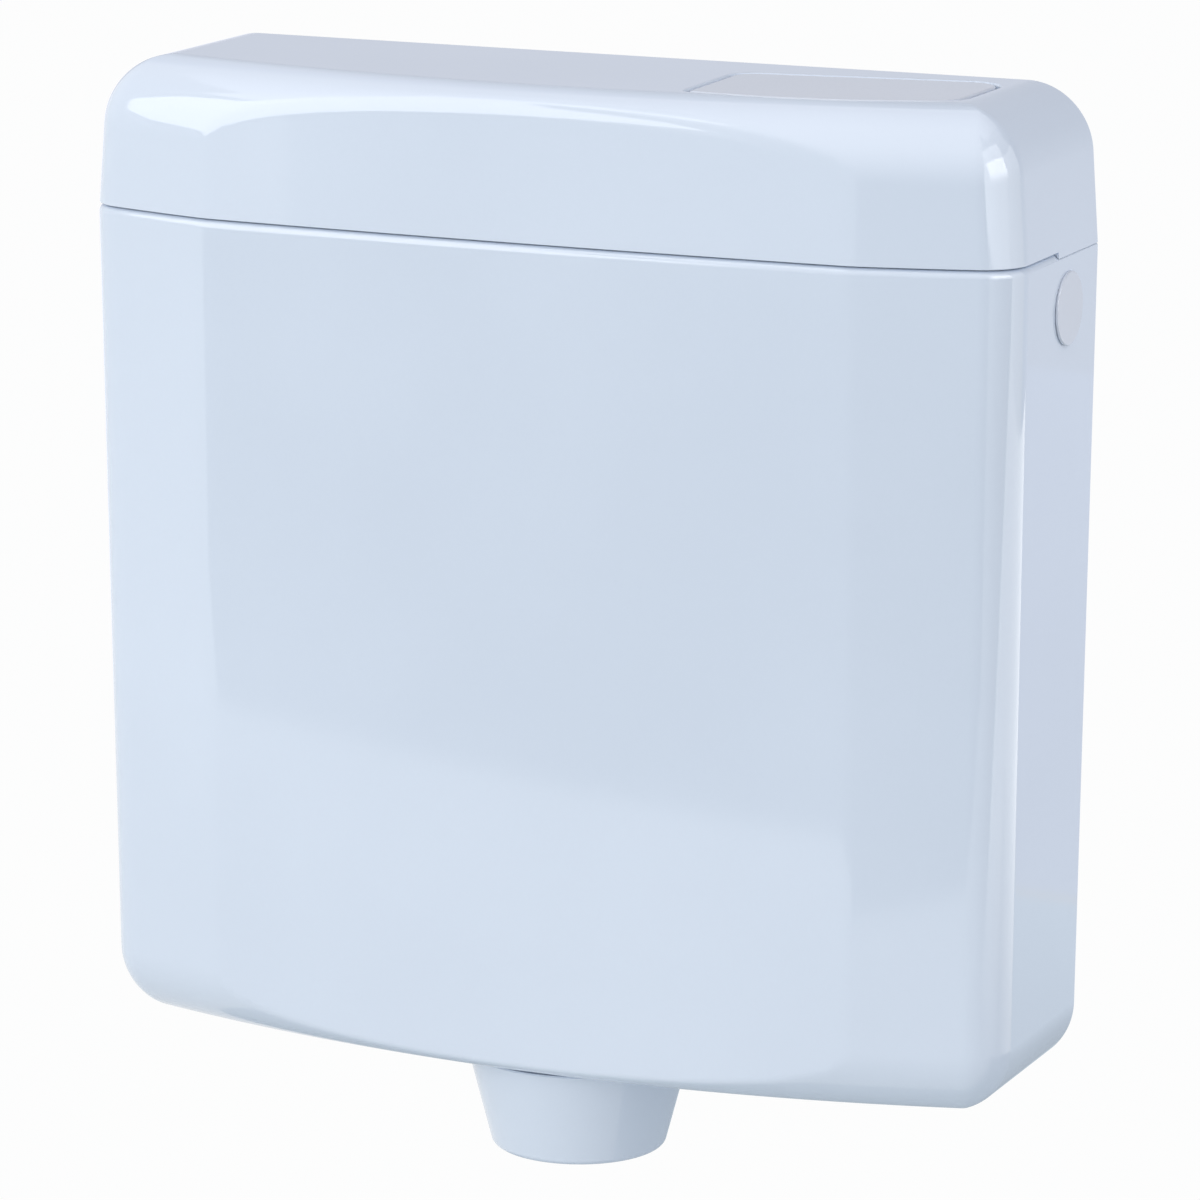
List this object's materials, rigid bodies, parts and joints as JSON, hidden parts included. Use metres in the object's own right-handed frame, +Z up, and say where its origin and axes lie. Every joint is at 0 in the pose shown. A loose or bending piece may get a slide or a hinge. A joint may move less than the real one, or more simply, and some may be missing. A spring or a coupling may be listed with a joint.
{
  "type": "toilet cistern",
  "caption": "Wall-hung toilet cistern with a bowed, panelled front, lift-off lid, hinged push plate, float-fed fill valve, lifting-tube flush valve and conical outlet nut.",
  "frame": {"origin": "midpoint of the two wall-fixing holes on the back face", "axes": "+Y into the wall, -Y towards the front, +Z up, +X to the right seen from the front"},
  "size_m": [0.4187, 0.1145, 0.4442],
  "materials": {
    "shell": "glossy white moulding",
    "plate": "glossy white moulding, a shade greyer",
    "white_plastic": "satin white moulding",
    "grey_plastic": "satin grey moulding",
    "blue_plastic": "satin blue moulding",
    "rubber": "matt black rubber",
    "brass": "turned brass",
    "steel": "drawn stainless steel"
  },
  "bodies": {
    "cistern": {"tank": "shell", "side_plug": "plate", "plug_washer": "rubber", "plug_nut": "white_plastic", "pipe_nut": "shell", "pipe_seal": "rubber", "outlet_seat": "white_plastic", "outlet_gasket": "rubber", "outlet_backnut": "white_plastic", "valve_cage": "grey_plastic", "lever_bridge": "white_plastic", "lever_pin": "steel", "fill_valve": "white_plastic", "inlet_washer": "rubber", "inlet_backnut": "white_plastic", "arm_pin": "steel", "drop_tube": "grey_plastic"},
    "cover": {"lid": "shell", "plate_pin": "steel"},
    "push_plate": {"flush_plate": "plate", "plate_pusher": "blue_plastic"},
    "lifting_tube": {"overflow_tube": "white_plastic", "flush_seal": "rubber", "seal_retainer": "white_plastic", "flush_float": "grey_plastic", "float_clamp": "blue_plastic", "lift_stirrup": "blue_plastic"},
    "lever": {"flush_lever": "blue_plastic"},
    "arm": {"float_arm": "white_plastic", "fill_float": "grey_plastic", "float_nuts": "blue_plastic"},
    "piston": {"fill_piston": "brass", "piston_washer": "rubber"}
  },
  "joints": [
    {"name": "lid_lift", "type": "slide", "parent": "cistern", "child": "cover", "axis": [0, 0, 1], "range_m": [0, 0.12]},
    {"name": "plate_press", "type": "hinge", "parent": "cover", "child": "push_plate", "pos_m": [0.152, -0.05, 0.0783], "axis": [0, -1, 0], "range_deg": [0, 6.6]},
    {"name": "flush_lift", "type": "slide", "parent": "cistern", "child": "lifting_tube", "axis": [0, 0, 1], "range_m": [0, 0.018]},
    {"name": "lever_tilt", "type": "hinge", "parent": "cistern", "child": "lever", "pos_m": [0.062, -0.05, 0.04175], "axis": [0, 1, 0], "range_deg": [0, 16.7]},
    {"name": "arm_swing", "type": "hinge", "parent": "cistern", "child": "arm", "pos_m": [-0.14284, -0.034, -0.00442], "axis": [0, -1, 0], "range_deg": [0, 30]},
    {"name": "piston_slide", "type": "slide", "parent": "cistern", "child": "piston", "axis": [-1, 0, 0], "range_m": [0, 0.00466]}
  ],
  "couplings": [
    {"joint": "lever_tilt", "follows": "flush_lift", "rad_per_m": 16.18},
    {"joint": "plate_press", "follows": "flush_lift", "rad_per_m": 6.398},
    {"joint": "piston_slide", "follows": "arm_swing", "m_per_rad": 0.008897}
  ]
}
